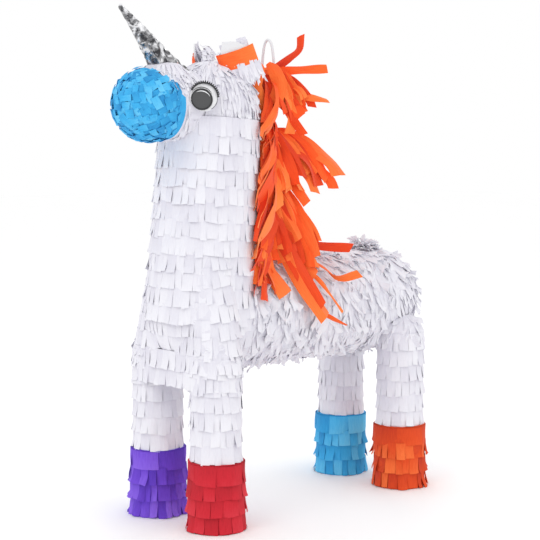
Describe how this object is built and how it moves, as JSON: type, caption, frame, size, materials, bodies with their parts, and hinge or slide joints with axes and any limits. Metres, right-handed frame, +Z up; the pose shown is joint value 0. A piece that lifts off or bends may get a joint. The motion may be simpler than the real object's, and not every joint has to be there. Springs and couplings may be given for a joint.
{
  "type": "pinata",
  "caption": "Hollow standing unicorn party figure: cardboard shell covered in fringed tissue paper, crepe mane, foil horn, filling flap and hanging loop.",
  "frame": {"origin": "middle of the figure's footprint, on the floor", "axes": "+Z up, the unicorn faces -Y, +X is its own left side"},
  "size_m": [0.156, 0.41, 0.52],
  "materials": {
    "cardboard": "raw brown kraft card",
    "paper_pulp": "pasted newsprint layers",
    "tissue_white": "cut white tissue paper",
    "crepe_orange": "bright orange crepe paper strips",
    "tissue_orange_red": "cut orange-red tissue paper",
    "tissue_red": "cut red tissue paper",
    "tissue_purple": "cut purple tissue paper",
    "tissue_blue": "cut sky-blue tissue paper",
    "white_card": "smooth white card",
    "pupil_grey": "dark grey printed paper",
    "silver_foil": "crumpled bright foil",
    "white_cord": "plain white cotton cord",
    "paper_tape": "gummed kraft paper tape"
  },
  "bodies": {
    "root": {"torso_tube": "cardboard", "chest_cap": "cardboard", "rump_cap": "cardboard", "neck_shell": "cardboard", "head_shell": "paper_pulp", "muzzle_shell": "paper_pulp", "leg_tube_front_left": "cardboard", "leg_tube_front_right": "cardboard", "leg_tube_rear_left": "cardboard", "leg_tube_rear_right": "cardboard", "foot_disc_front_left": "cardboard", "foot_disc_front_right": "cardboard", "foot_disc_rear_left": "cardboard", "foot_disc_rear_right": "cardboard", "horn_cone": "cardboard", "horn_foil": "silver_foil", "ear_card_left": "white_card", "ear_card_right": "white_card", "ear_band_left": "crepe_orange", "ear_band_right": "crepe_orange", "ear_fringe_left": "tissue_white", "ear_fringe_right": "tissue_white", "eye_card_left": "white_card", "eye_card_right": "white_card", "eye_pupil_left": "pupil_grey", "eye_pupil_right": "pupil_grey", "cord_washer": "cardboard", "cord_stopper": "white_cord", "cord_tails": "white_cord", "flap_tape": "paper_tape", "fringe_torso": "tissue_white", "fringe_chest": "tissue_white", "fringe_rump": "tissue_white", "fringe_rump_tuft": "tissue_white", "chest_pad": "tissue_white", "fringe_neck": "tissue_white", "fringe_head": "tissue_white", "fringe_snout": "tissue_white", "fringe_muzzle": "tissue_blue", "fringe_leg_front_left": "tissue_white", "fringe_leg_front_right": "tissue_white", "fringe_leg_rear_left": "tissue_white", "fringe_leg_rear_right": "tissue_white", "fringe_foot_front_left": "tissue_red", "fringe_foot_front_right": "tissue_purple", "fringe_foot_rear_left": "tissue_orange_red", "fringe_foot_rear_right": "tissue_blue", "mane_band": "crepe_orange", "mane_crest": "crepe_orange", "mane_upper": "crepe_orange", "mane_lower": "crepe_orange", "mane_flank": "crepe_orange", "mane_streamers": "crepe_orange"},
    "hanging_loop": {"hanging_cord": "white_cord"},
    "fill_flap": {"fill_flap": "cardboard", "fringe_flap": "tissue_white"}
  },
  "joints": [
    {"name": "flap_hinge", "type": "hinge", "parent": "root", "child": "fill_flap", "pos_m": [-0.03471, 0.025, 0.25037], "axis": [0, 1, 0], "range_deg": [0, 95], "deforming": ["flap_tape"]},
    {"name": "loop_swing", "type": "hinge", "parent": "root", "child": "hanging_loop", "pos_m": [0.011, -0.018, 0.4645], "axis": [1, 0, 0], "range_deg": [-35, 70], "stiffness_Nm_per_rad": 0.001}
  ]
}
